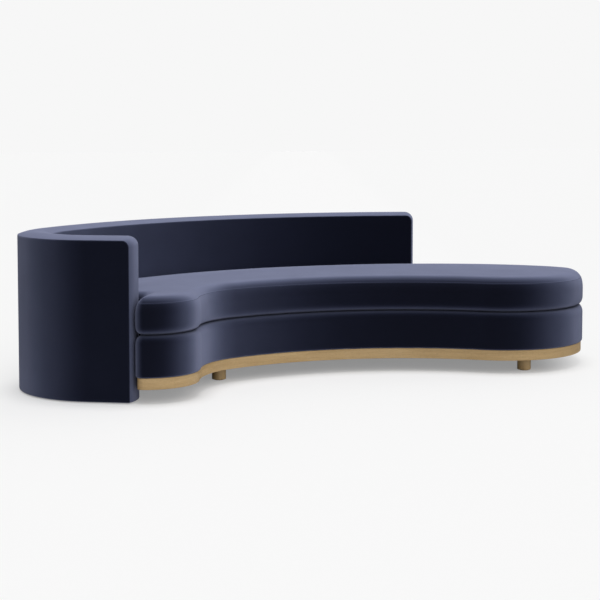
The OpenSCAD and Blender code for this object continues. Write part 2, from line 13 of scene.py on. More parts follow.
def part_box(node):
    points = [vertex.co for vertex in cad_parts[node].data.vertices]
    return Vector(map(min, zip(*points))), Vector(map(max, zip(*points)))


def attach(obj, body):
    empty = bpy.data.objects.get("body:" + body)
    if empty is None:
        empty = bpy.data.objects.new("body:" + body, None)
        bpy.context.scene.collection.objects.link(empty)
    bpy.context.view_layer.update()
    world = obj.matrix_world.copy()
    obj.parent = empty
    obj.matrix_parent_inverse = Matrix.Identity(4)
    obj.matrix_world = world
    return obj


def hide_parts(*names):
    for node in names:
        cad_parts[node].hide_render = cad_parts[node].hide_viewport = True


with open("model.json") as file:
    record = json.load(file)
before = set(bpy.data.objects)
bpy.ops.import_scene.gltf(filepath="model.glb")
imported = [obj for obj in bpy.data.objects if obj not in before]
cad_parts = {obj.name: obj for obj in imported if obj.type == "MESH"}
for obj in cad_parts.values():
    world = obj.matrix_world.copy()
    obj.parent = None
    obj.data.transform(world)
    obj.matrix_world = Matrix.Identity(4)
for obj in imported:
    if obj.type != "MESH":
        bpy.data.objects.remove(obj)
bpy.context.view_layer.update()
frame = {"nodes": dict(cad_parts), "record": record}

scene = bpy.context.scene

# Plan sizes, in metres and degrees, the same as in the part's source

SHELL_THICKNESS = 0.16
BACK_HEIGHT = 0.72
BACK_RADIUS = 2.054
BACK_END_ANGLE = 21.2
BACK_LEFT_ANGLE = 43.3
CORNER_RADIUS = 0.34
CORNER_SWEEP = 105.3
ARM_STRAIGHT = 0.21
BORDER_CROWN = 0.016
BORDER_TURN = 0.03
BACK_FOOT = 0.0041
SEAT_GAP = 0.003
FLANK_GAP = 0.003
CHAISE_FRONT_RADIUS = 0.432
CHAISE_REAR_RADIUS = 0.514
CHAISE_ANGLE = 32.2
CHAISE_TURN = -41.0
FRONT_RADIUS = 1.275
FRONT_OFFSET = 0.269
NOOK_RADIUS = 0.391
LOBE_RADIUS = 0.232
LOBE_INSET = 0.068
LOBE_REACH = 0.0125
FLANK_RADIUS = 0.038
NICK_RADIUS = 0.012
PLINTH_BOTTOM = 0.062
PLINTH_TOP = 0.112
PLINTH_WALL = 0.022
PLINTH_SETBACK = 0.007
BASE_TOP = 0.297
CUSHION_LOW = 0.2973
PLAN_MIDDLE = np.array((-0.152426, 1.43479))
BATTEN_ANGLES = (-47, -34, -20, -6, 8, 21, 31)
LEGS = ("leg_front_left", "leg_front_chaise", "leg_rear_chaise", "leg_rear_middle")

# How finely the seat's outline is drawn, and the length that gives the flank's steps

OUTLINE_STEP = 0.012
OUTLINE_TURN = 4.0
LEAST_RADIUS = 0.002
FLANK_STRAIGHT = 0.115


def polar(angle):
    return np.array((math.cos(math.radians(angle)), math.sin(math.radians(angle))))


def towards(angle):
    return polar(angle)[::-1]


def bearing(v):
    return math.degrees(math.atan2(v[1], v[0]))


def wrapped(angle, near):
    return near + (angle - near + 180) % 360 - 180


def meeting(c1, r1, c2, r2):
    """Where two circles meet, right of the way from centre to centre."""
    v = c2 - c1
    length = float(np.hypot(*v))
    u = v / length
    a = (r1 * r1 - r2 * r2 + length * length) / (2 * length)
    h = math.sqrt(r1 * r1 - a * a)
    return c1 + a * u - h * np.array((-u[1], u[0]))


# The back's own places

half_shell = SHELL_THICKNESS / 2
seat_radius = BACK_RADIUS - half_shell - SEAT_GAP
bow_start = 90 - BACK_END_ANGLE
bow_stop = 90 + BACK_LEFT_ANGLE
corner_stop = bow_stop + CORNER_SWEEP
corner_centre = (BACK_RADIUS - CORNER_RADIUS) * towards(-BACK_LEFT_ANGLE)
arm_inward = -towards(-BACK_LEFT_ANGLE - CORNER_SWEEP)
arm_along = np.array((arm_inward[1], -arm_inward[0]))
arm_end = corner_centre - CORNER_RADIUS * arm_inward + ARM_STRAIGHT * arm_along
arm_inner_corner = arm_end + half_shell * arm_inward


def seat_arcs():
    """Each arc's centre, radius, bulge, first and last angle, and the straight after it."""
    corner_inner = CORNER_RADIUS - half_shell - SEAT_GAP
    rear = (seat_radius - CHAISE_REAR_RADIUS) * towards(CHAISE_ANGLE)
    front = rear + (CHAISE_REAR_RADIUS - CHAISE_FRONT_RADIUS) * polar(CHAISE_TURN)
    reach = FRONT_RADIUS + CHAISE_FRONT_RADIUS
    run = front[0] + FRONT_OFFSET
    bay = np.array((-FRONT_OFFSET, front[1] - math.sqrt(reach * reach - run * run)))
    lobe = arm_inner_corner + LOBE_INSET * arm_inward + LOBE_REACH * arm_along
    nook = meeting(bay, FRONT_RADIUS - NOOK_RADIUS, lobe, NOOK_RADIUS + LOBE_RADIUS)
    out = FLANK_GAP + FLANK_RADIUS
    rise = math.sqrt((LOBE_RADIUS - FLANK_RADIUS) ** 2 - (out - LOBE_REACH) ** 2)
    flank = arm_inner_corner + out * arm_along + (LOBE_INSET - rise) * arm_inward
    aside, behind = FLANK_GAP - NICK_RADIUS, SEAT_GAP - NICK_RADIUS
    nick = arm_inner_corner + aside * arm_along + behind * arm_inward
    a0 = wrapped(bearing(-arm_along), 180)
    a1 = wrapped(bearing(flank - lobe), a0 + 60)
    a2 = wrapped(bearing(nook - lobe), a1 + 100)
    a3 = wrapped(bearing(nook - bay), a2 + 120)
    a4 = wrapped(bearing(front - bay), a3 - 60)
    a5 = wrapped(CHAISE_TURN, a4 + 270)
    a6 = wrapped(90 - CHAISE_ANGLE, a5 + 90)
    return [
        (flank, FLANK_RADIUS, 1, a0, a1, 0),
        (lobe, LOBE_RADIUS, 1, a1, a2, 0),
        (nook, NOOK_RADIUS, -1, a2 + 180, a3, 0),
        (bay, FRONT_RADIUS, -1, a3, a4, 0),
        (front, CHAISE_FRONT_RADIUS, 1, a4 + 180, a5, 0),
        (rear, CHAISE_REAR_RADIUS, 1, a5, a6, 0),
        (np.zeros(2), seat_radius, 1, 90 - CHAISE_ANGLE, bow_stop, 0),
        (corner_centre, corner_inner, 1, bow_stop, corner_stop, ARM_STRAIGHT),
        (nick, NICK_RADIUS, -1, corner_stop - 180, corner_stop - 270, FLANK_STRAIGHT),
    ]


SEAT = seat_arcs()
bay_centre, bay_radius = SEAT[3][:2]


def seat_outline(inset=0.0):
    """Points round the seat, parallel to its plan, with the same count for every inset."""
    rows = []
    for centre, radius, bulge, first, last, straight in SEAT:
        sweep = abs(last - first)
        count = max(
            math.ceil(sweep / OUTLINE_TURN),
            math.ceil(math.radians(sweep) * radius / OUTLINE_STEP),
        )
        r = max(radius - bulge * inset, LEAST_RADIUS)
        steps = range(count + (straight > 0))
        rows.append([centre + r * polar(first + (last - first) * i / count) for i in steps])
    points = []
    for row, after, arc in zip(rows, rows[1:] + rows[:1], SEAT):
        points += row
        count = math.ceil(arc[-1] / OUTLINE_STEP)
        points += [row[-1] + (after[0] - row[-1]) * k / count for k in range(1, count)]
    return np.array(points) - PLAN_MIDDLE


def bow_polar(points):
    """Each point's distance from the bow's centre, and its angle."""
    x, y = (points + PLAN_MIDDLE).T
    return np.hypot(x, y), np.degrees(np.arctan2(x, y))


# The line along the seat's middle, and how it dips into the left lobe

SPINE_FIRST = -BACK_LEFT_ANGLE - 2
SPINE_LAST = CHAISE_ANGLE - 2
DIP_START = -25
DIP_DEPTH = 0.54 * LOBE_RADIUS


def towards_spine(edge, share):
    """The edge, moved a share of the way to the seat's middle line."""
    angle = np.clip(bow_polar(edge)[1], SPINE_FIRST, SPINE_LAST)
    dip = np.clip((DIP_START - angle) / (DIP_START - SPINE_FIRST), 0, None)
    radius = (seat_radius + bay_centre[1] + bay_radius) / 2 - DIP_DEPTH * dip
    place = np.column_stack((np.sin(np.radians(angle)), np.cos(np.radians(angle))))
    return edge + share * (place * radius[:, None] - PLAN_MIDDLE - edge)


def depth_inside(points, corners=None):
    """How far each point lies from a closed line, or else from the seat's outline."""
    corners = seat_outline() if corners is None else corners
    nearest = np.full(len(points), np.inf)
    for corner, after in zip(corners, np.roll(corners, -1, axis=0)):
        side = after - corner
        share = np.clip((points - corner) @ side / (side @ side), 0, 1)
        nearest = np.minimum(nearest, np.hypot(*(points - corner - share[:, None] * side).T))
    return nearest


def run_along(points):
    """Length along a closed line up to each of its points, and all round."""
    sides = np.hypot(*(np.roll(points, -1, axis=0) - points).T)
    return np.concatenate(([0.0], np.cumsum(sides)))


# Meshes


def linked(name, data):
    """A new object of the scene, for a mesh, lamp or camera."""
    made = bpy.data.objects.new(name, data)
    scene.collection.objects.link(made)
    return made


def new_object(name, verts, faces):
    mesh = bpy.data.meshes.new(name)
    mesh.from_pydata([tuple(v) for v in verts], [], faces)
    mesh.update()
    mesh.polygons.foreach_set("use_smooth", [True] * len(mesh.polygons))
    return linked(name, mesh)


@contextmanager
def edited(piece):
    """The piece's mesh, opened for editing and then put back."""
    mesh = bmesh.new()
    mesh.from_mesh(piece.data)
    yield mesh
    mesh.to_mesh(piece.data)
    mesh.free()


def applied(piece):
    """The piece with its modifiers made part of its mesh."""
    shape = piece.evaluated_get(bpy.context.evaluated_depsgraph_get())
    mesh = bpy.data.meshes.new_from_object(shape)
    mesh.name = piece.name
    piece.modifiers.clear()
    piece.data = mesh
    return piece


def coordinates(mesh):
    values = np.empty(len(mesh.vertices) * 3)
    mesh.vertices.foreach_get("co", values)
    return values.reshape(-1, 3)


def bands(rows, count, closed=False):
    """Four-sided faces from each ring to the next, and back to the first if closed."""
    faces = []
    for k in range(rows if closed else rows - 1):
        low, high = k * count, (k + 1) % rows * count
        for i in range(count):
            j = (i + 1) % count
            faces.append((low + i, low + j, high + j, high + i))
    return faces


def lofted(name, rings):
    """A closed body through rings from below upwards, with its two flat ends filled."""
    rows, count = len(rings), len(rings[0])
    ends = [tuple(range(count - 1, -1, -1)), tuple(range((rows - 1) * count, rows * count))]
    return new_object(name, np.vstack(rings), bands(rows, count) + ends)


def sharp(piece, angle):
    """Marks the edges that turn more than an angle as sharp."""
    limit = math.radians(angle)
    with edited(piece) as mesh:
        for edge in mesh.edges:
            if len(edge.link_faces) == 2 and edge.calc_face_angle(0.0) > limit:
                edge.smooth = False


def turned(name, profile, at, count=64):
    """A turned body from a profile of (radius, height), standing at a place on the plan."""
    angles = [2 * math.pi * i / count for i in range(count)]
    rings = [
        [(at[0] + r * math.cos(t), at[1] + r * math.sin(t), z) for t in angles] for r, z in profile
    ]
    piece = lofted(name, rings)
    sharp(piece, 50)
    return piece


def at_height(points, z):
    return np.column_stack((points, np.full(len(points), z)))


def quarter(steps):
    """The angles of a quarter turn in even steps."""
    return [math.pi / 2 * k / steps for k in range(steps + 1)]


class Surface:
    """Gathers strips of four-sided faces and joins them where their edges meet."""

    def __init__(self):
        self.verts = []
        self.faces = []

    def add(self, rows):
        start, width = len(self.verts), len(rows[0])
        for row in rows:
            self.verts += row
        for k in range(len(rows) - 1):
            for i in range(width - 1):
                a = start + k * width + i
                self.faces.append((a, a + 1, a + width + 1, a + width))

    def piece(self, name, reach):
        made = new_object(name, self.verts, self.faces)
        with edited(made) as mesh:
            bmesh.ops.remove_doubles(mesh, verts=mesh.verts, dist=reach)
            bmesh.ops.recalc_face_normals(mesh, faces=mesh.faces)
            highest = max(mesh.faces, key=lambda face: face.calc_center_median().z)
            if highest.normal.z < 0:
                bmesh.ops.reverse_faces(mesh, faces=mesh.faces)
        return made


# Upholstered back: a crowned border runs up one end, along the top and down the other end

SEAM_HEIGHT = BACK_HEIGHT - BORDER_CROWN
TURN_HEIGHT = SEAM_HEIGHT - BORDER_TURN
TURN_STOP = BORDER_CROWN + BORDER_TURN
FACE_TOP = -0.005
COVER_SKIN = 0.0017
COVER_FOOT = 0.01
BACK_ROWS = 44
TURN_STEPS = 9
FIRST_SECTION = 1.75
BOW_SECTIONS = 158
CORNER_SECTIONS = 46
ARM_SECTIONS = 13
WELD_REACH = 2e-5

# How the cover turns under the foot: inset and height of each line
FOOT_TURN = (
    (0.0, COVER_FOOT), (0.0004, 0.0078), (0.0014, 0.0058),
    (0.0028, 0.0046), (0.0045, BACK_FOOT), (0.026, BACK_FOOT),
)

# The border's sewn groove, from the crown's side to the top of the face, as (across, rise)
BORDER_GROOVE = [
    (0.0778, 0.00082), (0.0786, 0.00048), (0.079, 0.0), (0.0789, -0.0006), (0.0782, -0.0013),
    (0.0788, -0.0018), (0.0796, -0.0024), (0.0799, -0.0034), (half_shell, FACE_TOP),
]


def bow_place(out, stop):
    r = BACK_RADIUS + out
    return r * polar(bow_start + math.degrees(math.asin(stop / r)))


def arm_place(out, stop):
    return arm_end - out * arm_inward - stop * arm_along


def border_section():
    """The border's section: a crown, a groove on each side and the tops of the two faces."""
    half = [(half_shell * s, BORDER_CROWN * (1 - s * s)) for s in np.linspace(0.0, 0.95, 12)]
    half += BORDER_GROOVE
    return half[::-1] + [(-a, n) for a, n in half[1:]]


def top_places():
    """The back's sections between its rolled ends: each gives the place for a distance outward."""
    places = [lambda out: bow_place(out, TURN_STOP)]
    for angle in np.linspace(bow_start + FIRST_SECTION, bow_stop, BOW_SECTIONS)[:-1]:
        places.append(lambda out, t=angle: (BACK_RADIUS + out) * polar(t))
    for angle in np.linspace(bow_stop, corner_stop, CORNER_SECTIONS):
        places.append(lambda out, t=angle: corner_centre + (CORNER_RADIUS + out) * polar(t))
    for stop in np.linspace(ARM_STRAIGHT, TURN_STOP, ARM_SECTIONS)[1:]:
        places.append(lambda out, t=stop: arm_place(out, t))
    return places


def foot_ring(section, inset, stops, tops):
    """The line round the cover's foot, moved in by an inset, closed on itself."""
    out = half_shell - inset
    share = out / half_shell
    corner = BORDER_CROWN - FACE_TOP + inset
    stops = [max(stop, corner) for stop in stops]
    outer = [bow_place(out, stop) for stop in stops]
    outer += [place(out) for place in tops]
    outer += [arm_place(out, stop) for stop in reversed(stops)]
    arm = [arm_place(a * share, BORDER_CROWN - n + inset) for a, n in section]
    inner = [arm_place(-out, stop) for stop in stops]
    inner += [place(-out) for place in reversed(tops)]
    inner += [bow_place(-out, stop) for stop in reversed(stops)]
    bow = [bow_place(a * share, BORDER_CROWN - n + inset) for a, n in reversed(section)]
    return outer + arm + inner + bow


def make_back():
    """The back's cover: border and rolled ends, two faces, and the turn under the foot."""
    section = border_section()
    tops = top_places()
    angles = quarter(TURN_STEPS)[:-1]
    heights = [COVER_FOOT + (TURN_HEIGHT - COVER_FOOT) * k / BACK_ROWS for k in range(BACK_ROWS)]
    surface = Surface()

    def end_rows(place):
        made = [[(*place(a, BORDER_CROWN - n), z) for a, n in section] for z in heights]
        for t in angles:
            turns = [(a, BORDER_TURN + n) for a, n in section]
            made.append([
                (*place(a, TURN_STOP - r * math.cos(t)), TURN_HEIGHT + r * math.sin(t))
                for a, r in turns
            ])
        return made

    middle = [[(*place(a), SEAM_HEIGHT + n) for a, n in section] for place in tops]
    surface.add(end_rows(bow_place) + middle + end_rows(arm_place)[::-1])

    edge = BORDER_TURN + FACE_TOP
    stops = [TURN_STOP - edge * math.cos(t) for t in angles]
    rolls = [(stop, TURN_HEIGHT + edge * math.sin(t)) for stop, t in zip(stops, angles)]
    for out in (half_shell, -half_shell):
        columns = [(bow_place(out, stop), top) for stop, top in rolls]
        columns += [(place(out), SEAM_HEIGHT + FACE_TOP) for place in tops]
        columns += [(arm_place(out, stop), top) for stop, top in reversed(rolls)]
        surface.add([
            [(*at, COVER_FOOT + (top - COVER_FOOT) * k / BACK_ROWS) for k in range(BACK_ROWS + 1)]
            for at, top in columns
        ])

    lines = [[(*p, z) for p in foot_ring(section, inset, stops, tops)] for inset, z in FOOT_TURN]
    for pair in zip(lines, lines[1:]):
        surface.add(pair)
    piece = surface.piece("back_upholstery", WELD_REACH)
    piece.data.transform(Matrix.Translation((-PLAN_MIDDLE[0], -PLAN_MIDDLE[1], 0)))
    wall = piece.modifiers.new("cover", "SOLIDIFY")
    wall.thickness = COVER_SKIN
    wall.offset = -1
    return applied(piece)


# Upholstered base, from its foot up its side and over its roll to the deck

BASE_LIFT = 0.0006
BASE_FOOT_INSETS = (0.034, 0.007)
BASE_FOOT_ROLL = 0.008
BASE_SIDE_START = 0.009
BASE_DROP = 0.0005
BASE_STEPS = 14
BASE_ROLL_WIDTH = 0.032
BASE_ROLL_HEIGHT = 0.04
BASE_DECK_INSET = 0.045
# Painted shade at the base's foot over the plinth and at its roll under the cushion, as shares of
# its colour
BASE_FIRST_PAINTED_SHADE = [0.1, 0.1, 0.1, 0.35, 0.8]
BASE_LAST_PAINTED_SHADE = [0.85, 0.6, 0.35, 0.2, 0.12, 0.12, 0.3, 1.0, 1.0, 1.0]


def painted_crevice_shade(piece, rings, first, last=()):
    """Painted shade on each ring, kept on its points: 1 where the velvet lies open, less where it
    is painted darker in the crease at a join.
    """
    shares = [*first, *[1.0] * (len(rings) - len(first) - len(last)), *last]
    layer = piece.data.attributes.new("open_pile", "FLOAT", "POINT")
    layer.data.foreach_set("value", np.repeat(np.array(shares), len(rings[0])))


def make_base():
    under = PLINTH_TOP + BASE_LIFT
    low = PLINTH_TOP + BASE_SIDE_START
    top = BASE_TOP - BASE_DROP
    side = top - BASE_ROLL_HEIGHT - low
    lines = [(inset, under) for inset in BASE_FOOT_INSETS]
    for t in reversed(quarter(5)):
        rise = BASE_FOOT_ROLL * math.sin(t)
        lines.append((BASE_FOOT_ROLL * (1 - math.cos(t)), under + BASE_FOOT_ROLL - rise))
    lines += [(0.0, low + side * k / BASE_STEPS) for k in range(1, BASE_STEPS)]
    for t in quarter(BASE_STEPS):
        drop = BASE_ROLL_HEIGHT * (1 - math.sin(t))
        lines.append((BASE_ROLL_WIDTH * (1 - math.cos(t)), top - drop))
    rings = [at_height(seat_outline(inset), z) for inset, z in lines]
    edge = seat_outline(BASE_DECK_INSET)
    rings += [at_height(towards_spine(edge, share), top) for share in (0.0, 0.3, 0.6, 0.9)]
    piece = lofted("base_upholstery", rings)
    painted_crevice_shade(piece, rings, BASE_FIRST_PAINTED_SHADE, BASE_LAST_PAINTED_SHADE)
    return piece


# Seat cushion. Its side is lines of (inset, height), from its foot up to the seam round its top

CUSHION_LIFT = 0.0005
CUSHION_SIDE = [
    (0.034, 0.0), (0.027, 0.0008), (0.021, 0.0024), (0.0155, 0.005), (0.0108, 0.0085),
    (0.007, 0.013), (0.004, 0.0185), (0.0018, 0.025), (0.0005, 0.033), (0.0, 0.042),
    (0.0, 0.0528), (0.0, 0.0535), (0.0, 0.062), (0.0, 0.0715), (0.0, 0.0805), (0.0, 0.0812),
    (0.0002, 0.09), (0.0008, 0.0985), (0.0019, 0.107), (0.0034, 0.115), (0.0052, 0.1225),
    (0.0072, 0.1285), (0.0084, 0.1318), (0.0089, 0.1334),
]
CUSHION_SEAM = (0.0108, 0.1347)
# Painted shade on the cushion's foot, in the crease where it sits on the base
CUSHION_PAINTED_SHADE = [0.12] * 6 + [0.15, 0.3, 0.7]

# Insets of the top's first lines, then rows along the last of them, then an even net of cells
CUSHION_TOP = (0.0101, 0.0112, 0.0145, 0.0185, 0.0235, 0.03, 0.038)
TOP_ROWS = (0.0035, 0.0075, 0.012, 0.017, 0.0225, 0.0285, 0.036, 0.046)
TOP_CELL = 0.014
ROW_SLACK = 0.0004
WELD_SLACK = 1e-6

# The crown: a roll from the seam, then a low dome, both flatter towards the back
CROWN_STEP = 0.0012
CROWN_ROLL = 0.062
CROWN_START = 0.0297
CROWN_INSET = 0.0032
CROWN_DOME = 0.005
DOME_START = 0.04
DOME_REACH = 0.12
BACK_FULLNESS = 0.26
FULL_AT = 0.42

# The zip lies in a recess in the rear wall, between two heights over the foot and two angles
ZIP_LOW = 0.053
ZIP_HIGH = 0.081
ZIP_RECESS = 0.0034
ZIP_FIRST = -24.0
ZIP_LAST = 14.0
ZIP_MARGIN = 0.35


def crown(points, depth):
    """Height of the cushion's top over its foot."""
    share = np.clip((seat_radius - bow_polar(points)[0]) / FULL_AT, 0, 1)
    fullness = BACK_FULLNESS + (1 - BACK_FULLNESS) * share * share * (3 - 2 * share)
    along = np.clip(1 - (depth - CROWN_INSET) / CROWN_ROLL, 0, 1)
    roll = np.maximum(CROWN_ROLL * np.sqrt(1 - along * along) - CROWN_START, 0)
    dome = CROWN_DOME * (1 - np.exp(-np.maximum(depth - DOME_START, 0) / DOME_REACH))
    return CUSHION_SEAM[1] + CROWN_STEP + fullness * (roll + dome)


def beside_zip(points):
    radius, angle = bow_polar(points)
    inside = (angle > ZIP_FIRST - ZIP_MARGIN) & (angle < ZIP_LAST + ZIP_MARGIN)
    return (radius > BACK_RADIUS - SHELL_THICKNESS) & inside


def evenly_inside(corners, cell):
    """Places on an even grid inside a closed line."""
    low, high = corners.min(axis=0), corners.max(axis=0)
    grid = np.meshgrid(np.arange(low[0], high[0], cell), np.arange(low[1], high[1], cell))
    x, y = (part.ravel() for part in grid)
    inside = np.zeros(len(x), bool)
    for (x1, y1), (x2, y2) in zip(corners, np.roll(corners, -1, axis=0)):
        if y1 != y2:
            inside ^= ((y1 > y) != (y2 > y)) & (x < x1 + (y - y1) * (x2 - x1) / (y2 - y1))
    return np.column_stack((x, y))[inside]


def fill_top(piece, low):
    """Puts rows and an even net in place of the one face that closes the cushion's top."""
    with edited(piece) as mesh:
        ends = (face for face in mesh.faces if len(face.verts) > 4)
        cap = max(ends, key=lambda face: face.calc_center_median().z)
        verts = list(cap.verts)
        bmesh.ops.delete(mesh, geom=[cap], context="FACES_ONLY")
        edge = np.array([vert.co[:2] for vert in verts])
        ahead = np.roll(edge, -1, axis=0) - np.roll(edge, 1, axis=0)
        inward = np.column_stack((-ahead[:, 1], ahead[:, 0])) / np.hypot(*ahead.T)[:, None]
        rows = []
        for step in TOP_ROWS:
            row = edge + step * inward
            rows.append(row[depth_inside(row, edge) > step - ROW_SLACK])
        net = evenly_inside(edge, TOP_CELL)
        rows.append(net[depth_inside(net, edge) > TOP_ROWS[-1] + TOP_CELL / 2])
        inner = np.vstack(rows)
        heights = low + crown(inner, depth_inside(inner))
        places = [Vector(place) for place in np.vstack((edge, inner))]
        sides = [(k, (k + 1) % len(edge)) for k in range(len(edge))]
        _, _, cells, sources, _, _ = delaunay_2d_cdt(places, sides, [], 1, WELD_SLACK)
        # The crown's new points are left without painted shade
        layer = mesh.verts.layers.float["open_pile"]
        for place, height in zip(inner, heights):
            vert = mesh.verts.new((*place, height))
            vert[layer] = 1.0
            verts.append(vert)
        for corners in cells:
            face = mesh.faces.new([verts[sources[corner][0]] for corner in corners])
            face.smooth = True


def make_cushion():
    """The cushion from under it, up its side and in over its crown."""
    low = CUSHION_LOW + CUSHION_LIFT
    edge = seat_outline(CUSHION_SIDE[0][0])
    rings = [at_height(towards_spine(edge, share), low) for share in (0.95, 0.6, 0.3, 0.12)]
    recess = seat_outline(ZIP_RECESS)
    for inset, height in CUSHION_SIDE + [CUSHION_SEAM]:
        ring = seat_outline(inset)
        if ZIP_LOW < height < ZIP_HIGH:
            ring = np.where(beside_zip(ring)[:, None], recess, ring)
        rings.append(at_height(ring, low + height))
    for inset in CUSHION_TOP:
        ring = seat_outline(inset)
        rings.append(np.column_stack((ring, low + crown(ring, inset))))
    piece = lofted("seat_cushion_cover", rings)
    painted_crevice_shade(piece, rings, CUSHION_PAINTED_SHADE)
    fill_top(piece, low)
    return piece


# How the cushion's top swells: the cloth, and how its rise is carried over

CLOTH_CELL = 0.014
CLOTH_FRAMES = 20
CLOTH = {
    "quality": 5, "mass": 0.3, "tension_stiffness": 20, "compression_stiffness": 20,
    "bending_stiffness": 1.0, "vertex_group_mass": "held",
    "use_pressure": True, "uniform_pressure_force": 4.0,
}
MOST_RISE = 0.005
NEAR_COUNT = 6
NEAR_SOFTNESS = 0.004
STILL_OVER_SEAM = 0.0015
FULL_RISE_OVER = 0.01


def filled(piece):
    """Lets an even copy of the cushion swell as cloth under pressure, and takes over its rise."""
    copy = linked("filling", piece.data.copy())
    cells = copy.modifiers.new("cells", "REMESH")
    cells.mode = "VOXEL"
    cells.voxel_size = CLOTH_CELL
    applied(copy)
    start = coordinates(copy.data)
    seam = CUSHION_LOW + CUSHION_SEAM[1]
    held = copy.vertex_groups.new(name="held")
    held.add([int(i) for i in np.flatnonzero(start[:, 2] < seam)], 1.0, "REPLACE")
    cloth = copy.modifiers.new("cloth", "CLOTH")
    for key, value in CLOTH.items():
        setattr(cloth.settings, key, value)
    cloth.settings.effector_weights.gravity = 0.0
    cloth.collision_settings.use_collision = False
    for number in range(1, CLOTH_FRAMES + 1):
        scene.frame_set(number)
    shape = copy.evaluated_get(bpy.context.evaluated_depsgraph_get())
    rise = coordinates(shape.data)[:, 2] - start[:, 2]
    scene.frame_set(1)
    bpy.data.objects.remove(copy)
    top = start[:, 2] > seam
    scale = min(1.0, MOST_RISE / max(float(np.percentile(rise[top], 99)), 1e-6))
    lifts = np.clip(np.nan_to_num(rise) * scale, 0.0, MOST_RISE)[top]
    near = KDTree(len(lifts))
    for i, place in enumerate(start[top]):
        near.insert(place, i)
    near.balance()
    points = coordinates(piece.data)
    for i in np.flatnonzero(points[:, 2] > seam + STILL_OVER_SEAM):
        found = near.find_n(points[i], NEAR_COUNT)
        weights = [1 / (distance + NEAR_SOFTNESS) for _, _, distance in found]
        lift = sum(w * lifts[index] for w, (_, index, _) in zip(weights, found)) / sum(weights)
        points[i, 2] += lift * min(1.0, (points[i, 2] - seam - STILL_OVER_SEAM) / FULL_RISE_OVER)
    piece.data.vertices.foreach_set("co", points.ravel())
    piece.data.update()


# Lining cloth, oak band and legs

CLOTH_GAP = 0.0006
CLOTH_FACES = (0.0001, 0.0007)
CUT_GAP = 0.0008
CUT_HEIGHTS = (0.04, 0.09)
BAND_EASE = 0.0015
LEG_EASE = 0.002


def upright(node):
    """Middle on the plan, radius, foot and top of a round node that stands upright."""
    low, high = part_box(node)
    middle = ((low[0] + high[0]) / 2, (low[1] + high[1]) / 2)
    return middle, (high[0] - low[0]) / 2, low[2], high[2]


def make_dust_cover():
    """Lining cloth stretched flat inside the plinth, cut round the legs and the middle support."""
    low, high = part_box("dust_cover")
    edge = seat_outline(PLINTH_SETBACK + PLINTH_WALL + CLOTH_GAP)
    shares = (0.96, 0.5, 0.0)
    rings = []
    for rise, steps in zip(CLOTH_FACES, (shares, shares[::-1])):
        rings += [at_height(towards_spine(edge, share), low[2] + rise) for share in steps]
    piece = lofted("lining_cloth", rings)
    cutters = []
    for node in LEGS + ("middle_support",):
        at, r, _, _ = upright(node)
        cut = piece.modifiers.new(node, "BOOLEAN")
        cut.operation = "DIFFERENCE"
        cut.solver = "EXACT"
        cut.object = turned("cutter", [(r + CUT_GAP, z) for z in CUT_HEIGHTS], at)
        cutters.append(cut.object)
    applied(piece)
    for cutter in cutters:
        bpy.data.objects.remove(cutter)
    after = np.roll(edge, -1, axis=0)
    area = abs(float((edge[:, 0] * after[:, 1] - edge[:, 1] * after[:, 0]).sum())) / 2
    return piece, (high[1] - low[1], high[0] - low[0]), area


def make_plinth():
    """The oak band: an outer and an inner face with eased edges, and a map for its grain."""
    outer, inner = PLINTH_SETBACK, PLINTH_SETBACK + PLINTH_WALL
    low, high = PLINTH_BOTTOM, PLINTH_TOP
    loop = np.array([
        (outer + BAND_EASE, low), (outer, low + BAND_EASE),
        (outer, high - BAND_EASE), (outer + BAND_EASE, high),
        (inner - BAND_EASE, high), (inner, high - BAND_EASE),
        (inner, low + BAND_EASE), (inner - BAND_EASE, low),
    ])
    rings = [at_height(seat_outline(inset), z) for inset, z in loop]
    rows, count = len(rings), len(rings[0])
    piece = new_object("plinth_oak_band", np.vstack(rings), bands(rows, count, closed=True))
    run = run_along(rings[1][:, :2])
    around = run_along(loop)
    corners = ((0, 0), (1, 0), (1, 1), (0, 1))
    places = [
        (run[i + right], around[k + up])
        for k in range(rows) for i in range(count) for right, up in corners
    ]
    piece.data.uv_layers.new(name="grain").data.foreach_set("uv", np.array(places).ravel())
    sharp(piece, 35)
    return piece


def make_leg(node, name):
    at, r, foot, top = upright(node)
    profile = [
        (r - LEG_EASE * (1 - math.sin(t)), foot + LEG_EASE * (1 - math.cos(t))) for t in quarter(5)
    ]
    profile += [(r, foot + (top - foot) * k / 4) for k in (1, 2, 3, 4)]
    return turned(name, profile, at)


# Node trees


